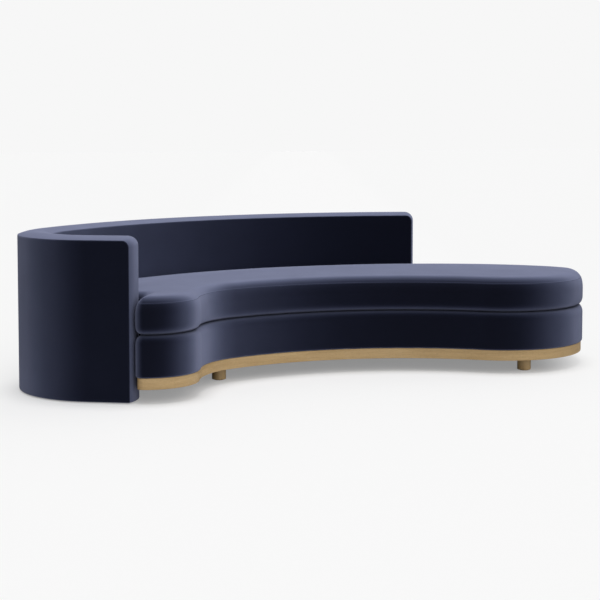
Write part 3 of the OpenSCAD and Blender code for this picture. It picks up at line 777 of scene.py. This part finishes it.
class Nodes:
    """A node tree, with short calls that add nodes and feed their sockets."""

    def __init__(self, tree):
        self.tree = tree

    def node(self, kind, **values):
        made = self.tree.nodes.new(kind)
        for key, value in values.items():
            setattr(made, key, value)
        return made

    def feed(self, socket, value):
        """Links a socket to another one, or sets its value; a colour of three gets its alpha."""
        if isinstance(value, bpy.types.NodeSocket):
            self.tree.links.new(value, socket)
        elif socket.type == "RGBA" and len(value) == 3:
            socket.default_value = (*value, 1)
        else:
            socket.default_value = value

    def fed(self, kind, inputs, **values):
        """A new node with its inputs, named or counted, fed from a dictionary."""
        made = self.node(kind, **values)
        for label, value in inputs.items():
            self.feed(made.inputs[label], value)
        return made

    def math(self, operation, *values):
        return self.fed("ShaderNodeMath", dict(enumerate(values)), operation=operation).outputs[0]

    def dot(self, vector, direction):
        inputs = {0: vector, 1: direction}
        return self.fed("ShaderNodeVectorMath", inputs, operation="DOT_PRODUCT").outputs["Value"]

    def noise(self, vector, scale, detail):
        inputs = {"Vector": vector, "Scale": scale, "Detail": detail}
        return self.fed("ShaderNodeTexNoise", inputs).outputs["Fac"]

    def mapped(self, vector, label, value):
        return self.fed("ShaderNodeMapping", {"Vector": vector, label: value}).outputs["Vector"]

    def mixed(self, share, first, second):
        inputs = {0: share, 6: first, 7: second}
        return self.fed("ShaderNodeMix", inputs, data_type="RGBA").outputs[2]

    def ranged(self, value, low, high, to_low, to_high, kind="LINEAR"):
        labels = ("Value", "From Min", "From Max", "To Min", "To Max")
        inputs = dict(zip(labels, (value, low, high, to_low, to_high)))
        return self.fed("ShaderNodeMapRange", inputs, interpolation_type=kind).outputs["Result"]


class Group(Nodes):
    """A node group with named inputs, all fed where it is used, and named outputs."""

    def __init__(self, name, kind, inputs, outputs):
        super().__init__(bpy.data.node_groups.new(name, kind))
        add = self.tree.interface.new_socket
        for way, sockets in (("INPUT", inputs), ("OUTPUT", outputs)):
            for label, socket in sockets.items():
                add(name=label, in_out=way, socket_type="NodeSocket" + socket)
        self.given = self.node("NodeGroupInput").outputs
        self.out = self.node("NodeGroupOutput").inputs


def mottle_group():
    """Cloudy unevenness at two sizes, as a value round 1, and a fine height."""
    inputs = {"Vector": "Vector", "Scale": "Float", "Fine Scale": "Float", "Amount": "Float"}
    group = Group("mottle", "ShaderNodeTree", inputs, {"Value": "Float", "Height": "Float"})
    vector = group.given["Vector"]
    broad = group.noise(vector, group.given["Scale"], 3.0)
    fine = group.noise(vector, group.given["Fine Scale"], 2.0)
    swing = group.math("MULTIPLY", group.math("SUBTRACT", broad, 0.5), 2.0)
    grit = group.math("MULTIPLY", group.math("SUBTRACT", fine, 0.5), 0.7)
    both = group.math("MULTIPLY", group.math("ADD", swing, grit), group.given["Amount"])
    group.feed(group.out["Value"], group.math("ADD", both, 1.0))
    group.feed(group.out["Height"], fine)
    return group.tree


def grain_group():
    """Wood grain that runs along the vector's x: soft bands, fine streaks and short dark pores."""
    inputs = {"Vector": "Vector", "Pale": "Color", "Dark": "Color", "Pores": "Float"}
    outputs = {"Color": "Color", "Height": "Float", "Roughness": "Float"}
    group = Group("wood_grain", "ShaderNodeTree", inputs, outputs)

    def layer(length, width, detail):
        scale = (length, width, width)
        return group.noise(group.mapped(group.given["Vector"], "Scale", scale), 1.0, detail)

    clouds = layer(2.2, 34, 3.0)
    streaks = layer(7, 420, 4.0)
    pores = layer(60, 1500, 1.0)
    fleck = layer(26, 190, 2.0)
    pale, dark = group.given["Pale"], group.given["Dark"]
    broad = group.math("MULTIPLY", clouds, 0.55)
    share = group.math("ADD", broad, group.math("MULTIPLY", streaks, 0.45))
    wood = group.mixed(group.ranged(share, 0.36, 0.64, 0.0, 1.0), dark, pale)
    shine = group.ranged(fleck, 0.6, 0.74, 0.0, 0.35)
    wood = group.mixed(shine, wood, group.mixed(0.5, pale, (0.8, 0.7, 0.5)))
    deep = group.ranged(pores, 0.62, 0.7, 0.0, 1.0)
    pit = group.math("MULTIPLY", deep, group.given["Pores"])
    wood = group.mixed(pit, wood, group.mixed(0.72, dark, (0.06, 0.035, 0.015)))
    height = group.math("SUBTRACT", group.math("MULTIPLY", streaks, 0.3), pit)
    group.feed(group.out["Color"], wood)
    group.feed(group.out["Height"], height)
    group.feed(group.out["Roughness"], group.ranged(streaks, 0.3, 0.7, 0.42, 0.58))
    return group.tree


def threads_group():
    """Woven threads: a mask that is high on a thread's back, and its height."""
    inputs = {"Vector": "Vector", "Threads": "Float"}
    group = Group("threads", "ShaderNodeTree", inputs, {"Mask": "Float", "Height": "Float"})
    parts = group.fed("ShaderNodeSeparateXYZ", {0: group.given["Vector"]}).outputs
    waves = []
    for axis in range(3):
        turn = group.math("MULTIPLY", parts[axis], group.given["Threads"])
        waves.append(group.math("ABSOLUTE", group.math("SINE", turn)))
    crossed = group.math("MAXIMUM", group.math("MAXIMUM", waves[0], waves[1]), waves[2])
    group.feed(group.out["Height"], crossed)
    group.feed(group.out["Mask"], group.ranged(crossed, 0.5, 1.0, 0.0, 1.0))
    return group.tree


MOTTLE = mottle_group()
GRAIN = grain_group()
THREADS = threads_group()

# Finishes


class Finish(Nodes):
    """A material round its shader."""

    def __init__(self, name, **values):
        self.material = bpy.data.materials.new(name)
        self.material.use_nodes = True
        super().__init__(self.material.node_tree)
        self.shader = self.tree.nodes["Principled BSDF"].inputs
        self.object_place = self.node("ShaderNodeTexCoord").outputs["Object"]
        self.set(**values)

    def set(self, **values):
        for key, value in values.items():
            self.feed(self.shader[key.replace("_", " ")], value)

    def along(self, way):
        """The place that grain follows: along the band's own map, upright, or level."""
        if way == "band":
            return self.node("ShaderNodeUVMap", uv_map="grain").outputs["UV"]
        if way == "upright":
            return self.mapped(self.object_place, "Rotation", (0.0, math.radians(90), 0.0))
        return self.object_place

    def group(self, tree, vector, **values):
        inputs = {key.replace("_", " "): value for key, value in values.items()}
        inputs["Vector"] = vector
        return self.fed("ShaderNodeGroup", inputs, node_tree=tree).outputs

    def mottle(self, scale, fine, amount):
        return self.group(MOTTLE, self.object_place, Scale=scale, Fine_Scale=fine, Amount=amount)

    def tinted(self, color, value):
        """A colour, or a colour socket, made lighter and darker by a value round 1."""
        made = self.fed("ShaderNodeVectorMath", {0: color}, operation="SCALE")
        self.feed(made.inputs["Scale"], value)
        self.set(Base_Color=made.outputs[0])

    def bump(self, height, distance, strength):
        inputs = {"Height": height, "Distance": distance, "Strength": strength}
        self.set(Normal=self.fed("ShaderNodeBump", inputs).outputs["Normal"])


# Velvet's painted sheen: how light its colour is painted from straight on (0) to along the pile's
# tips (1)
PAINTED_SHEEN_RAMP = [
    (0.0, 0.0043, 0.0052, 0.0125),
    (0.05, 0.0066, 0.0082, 0.0185),
    (0.1, 0.013, 0.0154, 0.032),
    (0.16, 0.024, 0.028, 0.0525),
    (0.22, 0.037, 0.0425, 0.076),
    (0.32, 0.056, 0.064, 0.1095),
    (0.46, 0.098, 0.111, 0.18),
    (0.6, 0.15, 0.166, 0.255),
    (0.74, 0.17, 0.187, 0.285),
    (0.88, 0.164, 0.18, 0.272),
    (1.0, 0.195, 0.214, 0.32),
]


def velvet(name, crevice_shade):
    """Navy velvet, its colour painted dark seen from straight on and lighter towards its edges as
    painted sheen.
    """
    finish = Finish(name, Roughness=0.92, Specular_IOR_Level=0.08)
    finish.set(Sheen_Weight=0.12, Sheen_Roughness=0.45, Sheen_Tint=(0.55, 0.6, 0.85))
    # Painted sheen: the base colour grows lighter as the surface turns edge-on to the view
    facing = finish.fed("ShaderNodeLayerWeight", {"Blend": 0.5}).outputs["Facing"]
    curve = finish.fed("ShaderNodeValToRGB", {"Fac": facing})
    ramp = curve.color_ramp
    ramp.elements.remove(ramp.elements[-1])
    ramp.elements[0].color = (*PAINTED_SHEEN_RAMP[0][1:], 1)
    for position, *color in PAINTED_SHEEN_RAMP[1:]:
        ramp.elements.new(position).color = (*color, 1)
    nap = finish.mottle(7.0, 900.0, 0.11)
    value = nap["Value"]
    # Painted crevice shade: the colour made darker by the value kept on the points
    if crevice_shade:
        shade_factor = finish.node("ShaderNodeAttribute", attribute_name="open_pile")
        value = finish.math("MULTIPLY", value, shade_factor.outputs["Fac"])
    finish.tinted(curve.outputs["Color"], value)
    finish.bump(nap["Height"], 0.0002, 0.25)
    return finish.material


def wood(name, way, pale, dark, pores, depth=0.0003, gloss=0.2, coat=0.0):
    """Wood whose grain runs one way, unfinished or under matt lacquer."""
    finish = Finish(name, Specular_IOR_Level=gloss)
    if coat:
        finish.set(Coat_Weight=coat, Coat_Roughness=0.35)
    grain = finish.group(GRAIN, finish.along(way), Pale=pale, Dark=dark, Pores=pores)
    finish.set(Base_Color=grain["Color"], Roughness=grain["Roughness"])
    finish.bump(grain["Height"], depth, 0.5)
    return finish.material


def cellular(name, color, scale, fine, amount, depth):
    """Foam and wadding: an even colour broken up by clouds and cells."""
    finish = Finish(name, Roughness=0.95, Specular_IOR_Level=0.05)
    cells = finish.mottle(scale, fine, amount)
    finish.tinted(color, cells["Value"])
    finish.bump(cells["Height"], depth, 0.7)
    return finish.material


def woven(name, color, threads, depth):
    """Webbing, lining cloth and zip tape: crossed threads over a cloudy colour."""
    finish = Finish(name, Roughness=0.85, Specular_IOR_Level=0.15)
    cloth = finish.group(THREADS, finish.object_place, Threads=threads)
    shade = finish.math("MULTIPLY_ADD", cloth["Mask"], 0.5, 0.6)
    cloud = finish.mottle(12.0, 800.0, 0.12)
    finish.tinted(color, finish.math("MULTIPLY", shade, cloud["Value"]))
    finish.bump(cloth["Height"], depth, 0.6)
    return finish.material


def moulded(name, color, roughness, metallic, scale):
    """Nylon glides and plated steel: fine unevenness in colour and gloss."""
    finish = Finish(name, Metallic=metallic, Specular_IOR_Level=0.4)
    marks = finish.mottle(scale, 1400.0, 0.16)
    finish.tinted(color, marks["Value"])
    finish.set(Roughness=finish.math("MULTIPLY", marks["Value"], roughness))
    finish.bump(marks["Height"], 0.00005, 0.4)
    return finish.material


VELVET = velvet("navy_velvet", crevice_shade=False)
SEAT_VELVET = velvet("navy_velvet_with_joins", crevice_shade=True)
OAK = {
    "pale": (0.63, 0.437, 0.214), "dark": (0.46, 0.302, 0.134), "pores": 0.55,
    "depth": 0.0002, "gloss": 0.35, "coat": 0.12,
}
OAK_BAND = wood("oak_band_lacquered", "band", **OAK)
OAK_LEG = wood("oak_leg_lacquered", "upright", **OAK)
THREAD = woven("navy_thread", (0.035, 0.042, 0.085), 5200.0, 0.00005)
FINISHES = {
    "velvet": VELVET,
    "oak": OAK_LEG,
    "plywood": wood("birch_plywood", "level", (0.68, 0.54, 0.34), (0.55, 0.41, 0.23), 0.15),
    "pine": wood("planed_pine", "upright", (0.72, 0.54, 0.3), (0.58, 0.39, 0.18), 0.1),
    "foam": cellular("cut_foam", (0.82, 0.76, 0.56), 8.0, 1300.0, 0.1, 0.0004),
    "wadding": cellular("polyester_wadding", (0.86, 0.86, 0.84), 30.0, 420.0, 0.08, 0.0012),
    "cambric": woven("black_lining_cloth", (0.012, 0.012, 0.013), 2600.0, 0.0001),
    "webbing": woven("elastic_webbing", (0.016, 0.016, 0.017), 1500.0, 0.0003),
    "steel": moulded("plated_steel", (0.6, 0.61, 0.63), 0.34, 1.0, 25.0),
    "nylon": moulded("black_nylon", (0.018, 0.018, 0.019), 0.48, 0.0, 40.0),
    "zip": woven("zip_tape", (0.011, 0.013, 0.024), 3200.0, 0.00015),
}

# What repeats: stitches, zip teeth and staples stand along a line at an even pitch


def line_tree():
    """Stands copies of a small piece along a line of edges, each turned to follow it."""
    inputs = {
        "Line": "Geometry", "Piece": "Object", "Finish": "Material",
        "Pitch": "Float", "Wobble": "Float", "Seed": "Int",
    }
    line = Group("pieces_along_line", "GeometryNodeTree", inputs, {"Pieces": "Geometry"})
    given = line.given

    def numbers(sockets):
        return [socket for socket in sockets if socket.type == "VALUE" and socket.enabled]

    curve = line.fed("GeometryNodeMeshToCurve", {0: given["Line"]}).outputs[0]
    even = line.node("GeometryNodeResampleCurve", mode="LENGTH")
    line.feed(even.inputs["Curve"], curve)
    line.feed(even.inputs["Length"], given["Pitch"])
    ahead = {"Vector": line.node("GeometryNodeInputTangent").outputs[0]}
    follow = line.fed("FunctionNodeAlignRotationToVector", ahead, axis="X", pivot_axis="Z")
    piece = line.fed("GeometryNodeObjectInfo", {"Object": given["Piece"]}).outputs["Geometry"]
    places = {"Points": even.outputs[0], "Instance": piece, "Rotation": follow.outputs[0]}
    stand = line.fed("GeometryNodeInstanceOnPoints", places).outputs[0]
    wobble = line.node("FunctionNodeRandomValue")
    least, most = numbers(wobble.inputs)
    line.feed(least, line.math("MULTIPLY", given["Wobble"], -1.0))
    line.feed(most, given["Wobble"])
    line.feed(wobble.inputs["Seed"], given["Seed"])
    angles = line.fed("ShaderNodeCombineXYZ", {"Z": numbers(wobble.outputs)[0]}).outputs[0]
    turns = {"Instances": stand, "Rotation": angles}
    askew = line.fed("GeometryNodeRotateInstances", turns).outputs[0]
    real = line.fed("GeometryNodeRealizeInstances", {0: askew}).outputs[0]
    paint = {"Geometry": real, "Material": given["Finish"]}
    line.feed(line.out[0], line.fed("GeometryNodeSetMaterial", paint).outputs[0])
    return line.tree


LINE_TREE = line_tree()


def along_line(name, points, copy, finish, pitch, closed=False, wobble=0.0, seed=7):
    """A row of copies as one plain mesh."""
    count = len(points)
    sides = [(i, (i + 1) % count) for i in range(count if closed else count - 1)]
    mesh = bpy.data.meshes.new(name)
    mesh.from_pydata([tuple(p) for p in points], sides, [])
    row = linked(name, mesh)
    made = row.modifiers.new("copies", "NODES")
    made.node_group = LINE_TREE
    values = {"Piece": copy, "Finish": finish, "Pitch": pitch, "Wobble": wobble, "Seed": seed}
    for item in LINE_TREE.interface.items_tree:
        if item.name in values:
            made[item.identifier] = values[item.name]
    piece = applied(row)
    piece.data.polygons.foreach_set("use_smooth", [True] * len(piece.data.polygons))
    return piece


def bead(name, length, width, height, around, rings):
    """A small rounded body, longest along x."""
    verts = [(-length / 2, 0, 0)]
    for k in range(1, rings):
        t = math.pi * k / rings
        x, wide, tall = -length / 2 * math.cos(t), width / 2 * math.sin(t), height / 2 * math.sin(t)
        for a in (2 * math.pi * i / around for i in range(around)):
            verts.append((x, wide * math.cos(a), tall * math.sin(a)))
    verts.append((length / 2, 0, 0))
    top = len(verts) - 1
    last = top - around
    faces = [(0, 1 + (i + 1) % around, 1 + i) for i in range(around)]
    faces += [tuple(corner + 1 for corner in face) for face in bands(rings - 1, around)]
    faces += [(last + i, last + (i + 1) % around, top) for i in range(around)]
    piece = new_object(name, verts, faces)
    with edited(piece) as mesh:
        bmesh.ops.recalc_face_normals(mesh, faces=mesh.faces)
    return piece


def block(name, size, ease):
    """A small block with eased edges."""
    piece = linked(name, bpy.data.meshes.new(name))
    with edited(piece) as mesh:
        bmesh.ops.create_cube(mesh, size=1.0, matrix=Matrix.Diagonal((*size, 1.0)))
        bmesh.ops.bevel(mesh, geom=mesh.edges[:], offset=ease, segments=1, affect="EDGES")
        bmesh.ops.recalc_face_normals(mesh, faces=mesh.faces)
    return piece


def joined(name, pieces):
    """One plain mesh from several, under a new name."""
    made = linked(name, bpy.data.meshes.new(name))
    with edited(made) as mesh:
        for piece in pieces:
            mesh.from_mesh(piece.data)
    made.data.materials.append(pieces[0].data.materials[0])
    for piece in pieces:
        bpy.data.objects.remove(piece)
    return made


def dress(piece, material, slot, body, *nodes):
    if material is not None:
        piece.data.materials.clear()
        piece.data.materials.append(material)
    if nodes:
        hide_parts(*nodes)
    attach(piece, body)
    return piece


# The frame's own parts keep their shapes and get their finishes

for row in frame["record"]["subparts"]:
    part, finish = frame["nodes"][row["node"]], FINISHES[row["material_slot"]]
    if not part.material_slots:
        part.data.materials.append(finish)
    for holder in part.material_slots:
        holder.material = finish

back = dress(make_back(), VELVET, "velvet", "frame", "back_cover")
base = dress(make_base(), SEAT_VELVET, "velvet", "frame", "base_cover")
cushion = make_cushion()
filled(cushion)
dress(cushion, SEAT_VELVET, "velvet", "seat_cushion", "cushion_cover")
dress(make_plinth(), OAK_BAND, "oak", "frame", "oak_plinth_band")
for node in LEGS:
    dress(make_leg(node, node + "_oak"), OAK_LEG, "oak", "frame", node)
lining, lining_size, lining_area = make_dust_cover()
dress(lining, FINISHES["cambric"], "cambric", "frame", "dust_cover")

# Stitches in the cushion's top seam

seam_height = CUSHION_LOW + CUSHION_SEAM[1] + 0.001
seam_line = at_height(seat_outline(CUSHION_SEAM[0] - 0.0007), seam_height)
stitch = bead("stitch", length=0.0046, width=0.0013, height=0.0013, around=5, rings=3)
stitches = along_line(
    "cushion_seam_stitches", seam_line, stitch, THREAD, pitch=0.0062, closed=True
)
dress(stitches, None, "velvet", "seat_cushion")

# Teeth and slider of its zip

ZIP_POINT_STEP = 0.25

zip_height = sum(corner[2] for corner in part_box("cushion_zip")) / 2


def zip_line(first, last, inset):
    count = max(2, round(abs(last - first) / ZIP_POINT_STEP))
    angles = [first + (last - first) * k / count for k in range(count + 1)]
    places = [(seat_radius - inset) * towards(a) - PLAN_MIDDLE for a in angles]
    return at_height(np.array(places), zip_height)


tooth = block("zip_tooth", size=(0.0016, 0.0014, 0.0046), ease=0.0003)
teeth_line = zip_line(first=-23.8, last=13.3, inset=0.0008)
teeth = along_line("zip_teeth", teeth_line, tooth, FINISHES["zip"], pitch=0.0026)
dress(teeth, None, "zip", "seat_cushion")
slider_body = block("slider_body", size=(0.011, 0.0026, 0.009), ease=0.0008)
slider_line = zip_line(first=13.35, last=13.6, inset=0.0004)
slider = along_line("zip_slider", slider_line, slider_body, FINISHES["steel"], pitch=0.012)
dress(slider, None, "steel", "seat_cushion")

# Staples through the lining cloth, in rows over the battens

STAPLE_MARGIN = 0.02

lining_edge = seat_outline(PLINTH_SETBACK + PLINTH_WALL + 0.006) + PLAN_MIDDLE


def across_seat(angle):
    """The line over a batten, from the seat's front to its back, under the lining cloth."""
    along = towards(angle)
    beyond = np.array((along[1], -along[0]))
    crossings = []
    for a, b in zip(lining_edge, np.roll(lining_edge, -1, axis=0)):
        first, last = float(a @ beyond), float(b @ beyond)
        if first * last < 0 and float(a @ along) > 0:
            crossings.append(float((a + (b - a) * first / (first - last)) @ along))
    reach = np.arange(min(crossings) + STAPLE_MARGIN, max(crossings) - STAPLE_MARGIN, 0.02)
    places = np.array([r * along for r in reach]) - PLAN_MIDDLE
    return at_height(places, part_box("dust_cover")[0][2] - 0.0001)


staple = bead("staple", length=0.012, width=0.0012, height=0.0008, around=5, rings=4)
rows = []
for seed, angle in enumerate(BATTEN_ANGLES, start=11):
    places = {"points": across_seat(angle), "pitch": 0.055, "wobble": 0.5, "seed": seed}
    rows.append(along_line("staples_row", copy=staple, finish=FINISHES["steel"], **places))
staples = joined("dust_cover_staples", rows)
dress(staples, None, "steel", "frame")
for spare in (stitch, tooth, slider_body, staple):
    bpy.data.objects.remove(spare)

# Studio floor: paler near the object than far aside, with a glow that evens it for the camera

FLOOR_HALF = 60.0
ASIDE = (0.917, -0.399, 0.0)
NEAR_STOP, FAR_START = 1.15, 1.55
NEAR_COLOR, FAR_COLOR = 0.66, 0.22
SEEN_LEVEL = 0.93
LIT_LEVEL = -1.0095

h = FLOOR_HALF
floor = new_object("floor", [(-h, -h, 0), (h, -h, 0), (h, h, 0), (-h, h, 0)], [(0, 1, 2, 3)])
paper = Finish("studio_paper", Roughness=0.95, Specular_IOR_Level=0.0, Emission_Color=(1, 1, 1))
aside = paper.math("ABSOLUTE", paper.dot(paper.object_place, ASIDE))
color = paper.ranged(aside, NEAR_STOP, FAR_START, NEAR_COLOR, FAR_COLOR, "SMOOTHSTEP")
glow = paper.math("MULTIPLY_ADD", color, LIT_LEVEL, SEEN_LEVEL)
seen = paper.node("ShaderNodeLightPath").outputs["Is Camera Ray"]
paper.set(Base_Color=color, Emission_Strength=paper.math("MULTIPLY", seen, glow))
floor.data.materials.append(paper.material)

# Studio light: a white sky, stronger from the right, that the camera sees as one even tone

SKY_LEVEL = 0.48
SKY_SLOPE = (0.31, -0.13, 0.0)

world = bpy.data.worlds.new("studio")
scene.world = world
world.use_nodes = True
sky = Nodes(world.node_tree)
direction = sky.node("ShaderNodeTexCoord").outputs["Generated"]
light = sky.tree.nodes["Background"]
sky.feed(light.inputs["Color"], (1, 1, 1))
sky.feed(light.inputs["Strength"], sky.math("ADD", sky.dot(direction, SKY_SLOPE), SKY_LEVEL))
shown = sky.fed("ShaderNodeBackground", {"Color": (SEEN_LEVEL,) * 3})
rays = sky.node("ShaderNodeLightPath").outputs
either = sky.math("MAXIMUM", rays["Is Camera Ray"], rays["Is Glossy Ray"])
mix = sky.fed("ShaderNodeMixShader", {0: either, 1: light.outputs[0], 2: shown.outputs[0]})
sky.feed(sky.tree.nodes["World Output"].inputs["Surface"], mix.outputs[0])


def sun(name, azimuth, elevation, strength, angle):
    """A soft lamp, at an azimuth clockwise from straight behind and a height over the floor."""
    lamp = bpy.data.lights.new(name, "SUN")
    lamp.energy = strength
    lamp.angle = math.radians(angle)
    holder = linked(name, lamp)
    e = math.radians(elevation)
    to_lamp = Vector((*(towards(azimuth) * math.cos(e)), math.sin(e)))
    holder.rotation_mode = "QUATERNION"
    holder.rotation_quaternion = to_lamp.to_track_quat("Z", "Y")


sun("overhead_softbox", 0, 87, 1.5, 24)
sun("front_fill", 168, 28, 0.5, 60)

# Camera, as fitted to the photograph

lens = bpy.data.cameras.new("camera")
lens.sensor_width = 36
lens.lens = 84
lens.shift_y = -0.1342
lens.clip_end = 200
camera = linked("camera", lens)
camera.location = (-2.7777, -6.39565, 1.1833)
camera.rotation_euler = (math.radians(90 - 3.7264), 0, math.radians(-23.5))
scene.camera = camera

scene.view_settings.view_transform = "Standard"
